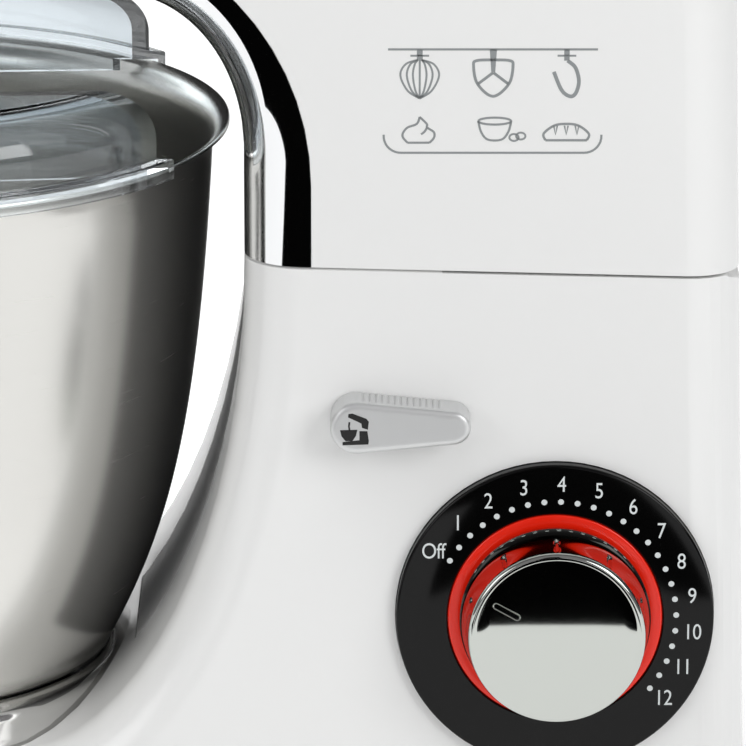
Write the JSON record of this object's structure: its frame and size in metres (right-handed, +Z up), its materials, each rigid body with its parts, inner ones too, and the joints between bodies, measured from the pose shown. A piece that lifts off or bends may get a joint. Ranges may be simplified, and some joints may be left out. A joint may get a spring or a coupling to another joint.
{
  "type": "stand mixer",
  "caption": "Tilt-head kitchen stand mixer with a stainless bowl, clear splash guard, speed dial, release lever and a planetary dough hook drive.",
  "frame": {"origin": "centre of the bounding box in X and Y, on the plane that the feet stand on", "axes": "+X from the bowl to the back of the column, +Y away from the side with the dial, +Z up"},
  "size_m": [0.3792, 0.226, 0.335],
  "materials": {
    "white_plastic": "glossy white moulded plastic",
    "matt_grey_plastic": "fine grained light grey",
    "black_gloss": "glossy black",
    "dark_plastic": "glossy dark grey",
    "red_light": "glossy red light guide",
    "chrome": "polished chrome plating",
    "satin_silver": "satin silver",
    "stainless": "brushed stainless steel",
    "polished_steel": "polished steel",
    "clear_plastic": "clear plastic",
    "black_rubber": "matt black rubber",
    "dark_steel": "plain steel",
    "cast_alloy": "cast alloy",
    "nylon": "natural nylon",
    "copper": "enamelled copper and steel",
    "board": "circuit board"
  },
  "bodies": {
    "base": {"base_housing": "white_plastic", "bottom_plate": "dark_plastic", "rubber_feet": "black_rubber", "base_screws": "polished_steel", "front_panel": "matt_grey_plastic", "bowl_lock_plate": "polished_steel", "dial_bezel": "black_gloss", "light_ring": "red_light", "speed_control": "dark_plastic", "control_board": "board", "column_frame": "dark_steel", "hinge_pin": "polished_steel", "lever_bush": "nylon", "latch_spring": "polished_steel", "cord_gland": "black_rubber"},
    "knob": {"speed_knob": "chrome", "knob_shaft": "polished_steel"},
    "lever": {"release_lever": "satin_silver", "lever_shaft": "polished_steel", "latch_hook": "dark_steel"},
    "bowl": {"bowl": "stainless", "bowl_foot": "polished_steel"},
    "guard": {"splash_guard": "clear_plastic"},
    "head": {"head_housing": "white_plastic", "chrome_arch": "chrome", "underside_cover": "dark_plastic", "neck_floor": "matt_grey_plastic", "head_catch": "dark_steel", "gearbox_chassis": "cast_alloy", "chassis_screws": "polished_steel", "ring_gear": "nylon", "gearbox_bearings": "polished_steel", "motor_case": "dark_steel", "motor_stator": "copper", "drive_belt": "black_rubber"},
    "rotor": {"armature": "copper", "motor_shaft": "polished_steel", "cooling_fan": "nylon", "motor_pulley": "polished_steel"},
    "layshaft": {"layshaft": "dark_steel", "large_pulley": "dark_plastic"},
    "carrier": {"main_shaft": "polished_steel", "main_gear": "nylon", "hub_cover": "satin_silver"},
    "planet": {"planet_gear": "dark_steel", "tool_shaft": "polished_steel", "dough_hook": "satin_silver"}
  },
  "joints": [
    {"name": "speed_turn", "type": "hinge", "parent": "base", "child": "knob", "pos_m": [0.13243, -0.08258, 0.074], "axis": [0, 0.9998, -0.0175], "range_deg": [0, 188]},
    {"name": "lever_press", "type": "hinge", "parent": "base", "child": "lever", "pos_m": [0.10314, -0.08, 0.1326], "axis": [0, -1, 0], "range_deg": [0, 16], "stiffness_Nm_per_rad": 0.6, "springref_deg": -5.73},
    {"name": "head_tilt", "type": "hinge", "parent": "base", "child": "head", "pos_m": [0.17644, 0, 0.164], "axis": [0, 1, 0], "range_deg": [0, 28]},
    {"name": "bowl_twist", "type": "hinge", "parent": "base", "child": "bowl", "pos_m": [-0.07157, 0, 0.022], "axis": [0, 0, 1], "range_deg": [0, 36]},
    {"name": "guard_lift", "type": "slide", "parent": "bowl", "child": "guard", "axis": [0, 0, 1], "range_m": [0, 0.012]},
    {"name": "carrier_spin", "type": "hinge", "parent": "head", "child": "carrier", "pos_m": [-0.07157, 0, 0.25], "axis": [0, 0, 1], "continuous": true},
    {"name": "planet_spin", "type": "hinge", "parent": "carrier", "child": "planet", "pos_m": [-0.04156, 0, 0.25], "axis": [0, 0, 1], "continuous": true},
    {"name": "layshaft_spin", "type": "hinge", "parent": "head", "child": "layshaft", "pos_m": [-0.02656, 0, 0.28], "axis": [0, 0, 1], "continuous": true},
    {"name": "rotor_spin", "type": "hinge", "parent": "head", "child": "rotor", "pos_m": [0.11443, 0, 0.25], "axis": [0, 0, 1], "continuous": true}
  ],
  "couplings": [
    {"joint": "planet_spin", "follows": "carrier_spin", "ratio": -3.2222},
    {"joint": "layshaft_spin", "follows": "carrier_spin", "ratio": -4.1429},
    {"joint": "rotor_spin", "follows": "carrier_spin", "ratio": -21.75}
  ]
}
